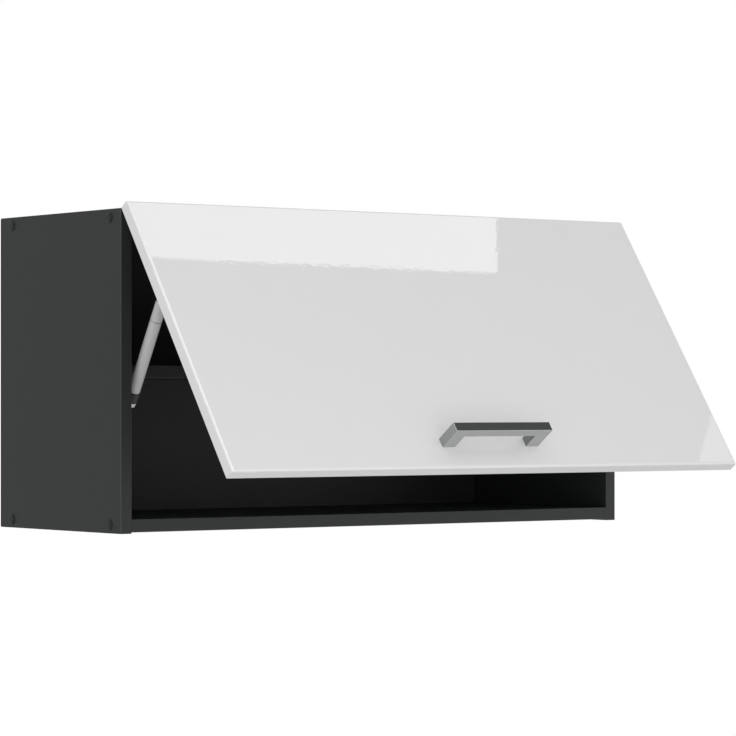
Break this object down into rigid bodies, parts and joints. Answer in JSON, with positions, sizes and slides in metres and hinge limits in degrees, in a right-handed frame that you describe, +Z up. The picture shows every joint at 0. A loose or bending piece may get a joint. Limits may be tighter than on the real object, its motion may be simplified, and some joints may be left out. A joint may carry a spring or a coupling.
{
  "type": "kitchen wall cabinet",
  "caption": "Low wall cabinet with a lift-up gloss flap on gas struts, a bow handle, a shelf and wall brackets.",
  "frame": {"origin": "on the wall plane, midway between the two wall screws", "axes": "+X along the width, +Y into the wall, +Z up; the flap faces -Y"},
  "size_m": [0.804, 0.5477, 0.4077],
  "materials": {
    "carcass_board": "graphite melamine, fine satin texture",
    "edge_band": "graphite edge band, satin",
    "back_board": "dark faced fibreboard",
    "flap_gloss": "white high-gloss foil over fibreboard",
    "handle_metal": "satin anodised",
    "zinc_steel": "zinc plated",
    "strut_paint": "light grey paint",
    "black_plastic": "moulded, fine matt",
    "chrome_steel": "polished",
    "cap_plastic": "moulded graphite",
    "beech": "turned beech",
    "clear_rubber": "translucent soft"
  },
  "bodies": {
    "carcass": {"side_panel_left": "carcass_board", "side_panel_right": "carcass_board", "top_panel": "carcass_board", "bottom_panel": "carcass_board", "shelf": "carcass_board", "back_panel": "back_board", "side_edge_band_left": "edge_band", "side_edge_band_right": "edge_band", "top_edge_band": "edge_band", "bottom_edge_band": "edge_band", "shelf_edge_band": "edge_band", "confirmat_screws": "zinc_steel", "dowels": "beech", "back_nails": "zinc_steel", "screw_caps_left": "cap_plastic", "screw_caps_right": "cap_plastic", "shelf_pins": "zinc_steel", "wall_bracket_left": "zinc_steel", "wall_bracket_right": "zinc_steel", "wall_bracket_screws": "zinc_steel", "hinge_top_leaf_left": "zinc_steel", "hinge_top_leaf_right": "zinc_steel", "hinge_pin_left": "zinc_steel", "hinge_pin_right": "zinc_steel", "hinge_top_screws": "zinc_steel", "strut_panel_bracket_left": "zinc_steel", "strut_panel_bracket_right": "zinc_steel", "panel_bracket_screws": "zinc_steel"},
    "flap": {"flap_door": "flap_gloss", "handle": "handle_metal", "handle_screws": "zinc_steel", "door_bumpers": "clear_rubber", "hinge_flap_leaf_left": "zinc_steel", "hinge_flap_leaf_right": "zinc_steel", "hinge_flap_screws": "zinc_steel", "strut_flap_bracket_left": "zinc_steel", "strut_flap_bracket_right": "zinc_steel", "flap_bracket_screws": "zinc_steel"},
    "strut_cylinder_left": {"strut_head_left": "strut_paint", "strut_tube_left": "strut_paint", "strut_gland_left": "black_plastic", "strut_collar_left": "chrome_steel"},
    "strut_rod_left": {"strut_rod_left": "chrome_steel", "strut_piston_left": "zinc_steel", "strut_rod_end_left": "black_plastic"},
    "strut_cylinder_right": {"strut_head_right": "strut_paint", "strut_tube_right": "strut_paint", "strut_gland_right": "black_plastic", "strut_collar_right": "chrome_steel"},
    "strut_rod_right": {"strut_rod_right": "chrome_steel", "strut_piston_right": "zinc_steel", "strut_rod_end_right": "black_plastic"}
  },
  "joints": [
    {"name": "flap_lift", "type": "hinge", "parent": "carcass", "child": "flap", "pos_m": [0, -0.294, 0.0445], "axis": [-1, 0, 0], "range_deg": [-35, 35]},
    {"name": "strut_swing_left", "type": "hinge", "parent": "flap", "child": "strut_cylinder_left", "pos_m": [-0.366, -0.34632, -0.04766], "axis": [1, 0, 0], "range_deg": [-37.8, 37.8]},
    {"name": "strut_stroke_left", "type": "slide", "parent": "strut_cylinder_left", "child": "strut_rod_left", "axis": [0, 0.5012, -0.8653], "range_m": [-0.0627, 0.0627]},
    {"name": "strut_swing_right", "type": "hinge", "parent": "flap", "child": "strut_cylinder_right", "pos_m": [0.366, -0.34632, -0.04766], "axis": [1, 0, 0], "range_deg": [-37.8, 37.8]},
    {"name": "strut_stroke_right", "type": "slide", "parent": "strut_cylinder_right", "child": "strut_rod_right", "axis": [0, 0.5012, -0.8653], "range_m": [-0.0627, 0.0627]}
  ],
  "couplings": [
    {"joint": "strut_swing_left", "follows": "flap_lift", "ratio": 1.0742},
    {"joint": "strut_stroke_left", "follows": "flap_lift", "m_per_rad": 0.10225},
    {"joint": "strut_swing_right", "follows": "flap_lift", "ratio": 1.0742},
    {"joint": "strut_stroke_right", "follows": "flap_lift", "m_per_rad": 0.10225}
  ]
}
